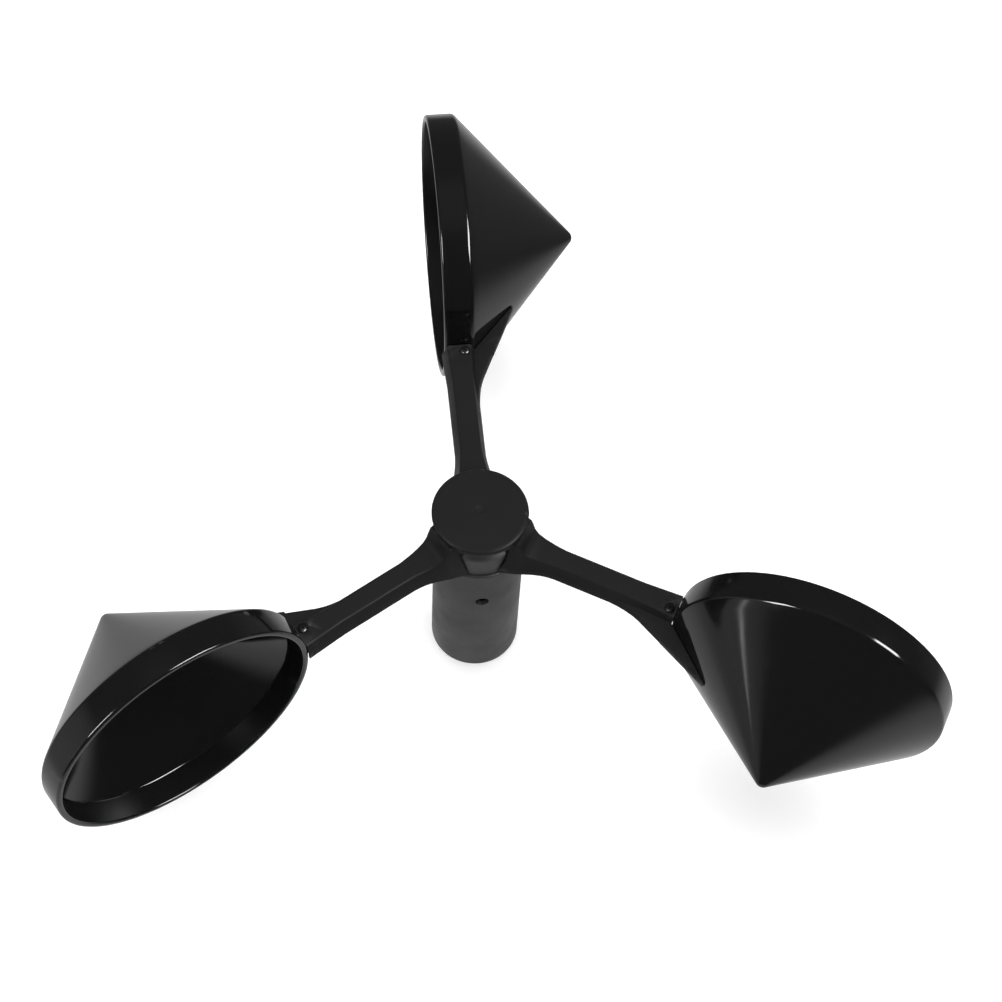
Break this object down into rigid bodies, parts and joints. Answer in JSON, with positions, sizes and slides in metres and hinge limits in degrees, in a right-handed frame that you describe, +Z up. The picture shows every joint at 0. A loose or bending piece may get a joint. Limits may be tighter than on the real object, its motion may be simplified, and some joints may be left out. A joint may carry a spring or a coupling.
{
  "type": "cup anemometer",
  "caption": "Wind speed sensor head: conical cups on slim arms round a capped hub, turning on a grey barrel with a bearing cartridge, magnets and a reed switch.",
  "frame": {"origin": "centre of the barrel's flat lower end, on the rotor's axis", "axes": "+Z up along the rotor's axis, +Y along arm 1; each cup opens to the anticlockwise side of its arm, seen from above"},
  "size_m": [0.1552, 0.141, 0.0623],
  "materials": {
    "gloss_black": "glossy black moulded plastic",
    "satin_black": "satin black moulded plastic",
    "barrel_grey": "satin dark grey plastic",
    "plug_grey": "matte dark grey plastic",
    "stainless_steel": "plain stainless steel",
    "black_steel": "blackened steel",
    "bearing_steel": "ground bearing steel",
    "brass": "turned or pressed brass",
    "nickel": "nickel plating",
    "carrier_white": "natural white plastic",
    "board_green": "green solder mask",
    "reed_glass": "clear green glass",
    "rubber": "plain black rubber"
  },
  "bodies": {
    "sensor_body": {"barrel": "barrel_grey", "base_plug": "plug_grey", "base_seal": "rubber", "grub_screw": "black_steel", "circuit_board": "board_green", "board_screw_left": "stainless_steel", "board_screw_right": "stainless_steel", "contact_pin_left": "brass", "contact_pin_right": "brass", "reed_glass": "reed_glass", "reed_lead_left": "nickel", "reed_lead_right": "nickel", "upper_bearing_outer": "bearing_steel", "upper_bearing_shield": "stainless_steel", "lower_bearing_outer": "bearing_steel", "lower_bearing_shield": "stainless_steel", "outer_spacer": "brass"},
    "rotor": {"rotor_spider": "satin_black", "hub_cap": "satin_black", "hub_screw": "stainless_steel", "hub_washer": "stainless_steel", "cup_1": "gloss_black", "cup_2": "gloss_black", "cup_3": "gloss_black", "cup_screw_1": "stainless_steel", "cup_screw_2": "stainless_steel", "cup_screw_3": "stainless_steel", "shaft": "stainless_steel", "shaft_clip": "stainless_steel", "upper_bearing_inner": "bearing_steel", "lower_bearing_inner": "bearing_steel", "inner_spacer": "stainless_steel", "magnet_carrier": "carrier_white", "magnet_1": "nickel", "magnet_2": "nickel"},
    "upper_balls": {"upper_ball_cage": "brass"},
    "lower_balls": {"lower_ball_cage": "brass"}
  },
  "joints": [
    {"name": "rotor_spin", "type": "hinge", "parent": "sensor_body", "child": "rotor", "pos_m": [0, 0, 0.0373], "axis": [0, 0, 1], "continuous": true},
    {"name": "upper_balls_roll", "type": "hinge", "parent": "sensor_body", "child": "upper_balls", "pos_m": [0, 0, 0.0353], "axis": [0, 0, 1], "continuous": true},
    {"name": "lower_balls_roll", "type": "hinge", "parent": "sensor_body", "child": "lower_balls", "pos_m": [0, 0, 0.0223], "axis": [0, 0, 1], "continuous": true}
  ],
  "couplings": [
    {"joint": "upper_balls_roll", "follows": "rotor_spin", "ratio": 0.38},
    {"joint": "lower_balls_roll", "follows": "rotor_spin", "ratio": 0.38}
  ]
}
